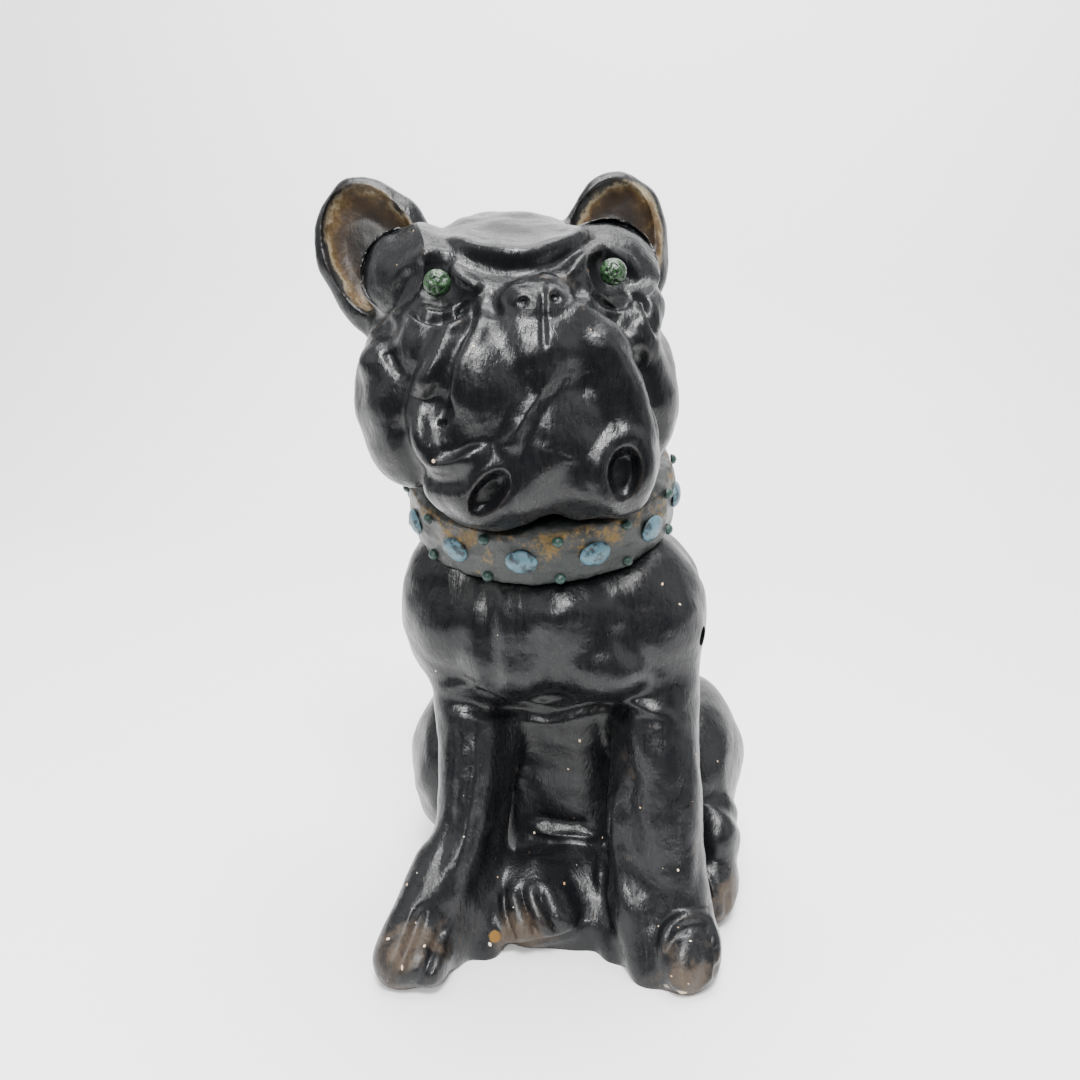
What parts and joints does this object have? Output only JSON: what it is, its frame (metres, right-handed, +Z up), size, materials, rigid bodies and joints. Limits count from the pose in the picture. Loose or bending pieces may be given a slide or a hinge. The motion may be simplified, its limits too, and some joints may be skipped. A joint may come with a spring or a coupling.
{
  "type": "seated dog figurine",
  "caption": "Seated dog figure in black-glazed pottery, with cupped ears, heavy jowls and a studded collar, standing on a moulded slab.",
  "frame": {"origin": "on the floor, under the middle of the figure's outline", "axes": "+Z up; the dog faces -Y; +X is the dog's own left"},
  "size_m": [0.1627, 0.1656, 0.2745],
  "materials": {
    "black_glaze": "gloss black, brushed on",
    "worn_black_glaze": "black worn to brown on the paws",
    "eye_green": "green, pitted",
    "collar_paint": "dark, with rubbed gold",
    "boss_blue": "satin pale blue",
    "bead_green": "dark green"
  },
  "bodies": {
    "root": {"body_front_shell": "black_glaze", "body_back_shell": "black_glaze", "head_front_shell": "black_glaze", "head_back_shell": "black_glaze", "nose_pad": "black_glaze", "ear_left": "black_glaze", "ear_right": "black_glaze", "eye_left": "eye_green", "eye_right": "eye_green", "collar_band": "collar_paint", "collar_bosses": "boss_blue", "collar_beads": "bead_green", "foreleg_left": "black_glaze", "foreleg_right": "black_glaze", "forepaw_left": "worn_black_glaze", "forepaw_right": "worn_black_glaze", "haunch_left": "black_glaze", "haunch_right": "black_glaze", "hind_paw_left": "worn_black_glaze", "hind_paw_right": "worn_black_glaze", "tail_stub": "black_glaze", "base_slab": "black_glaze"}
  },
  "joints": []
}
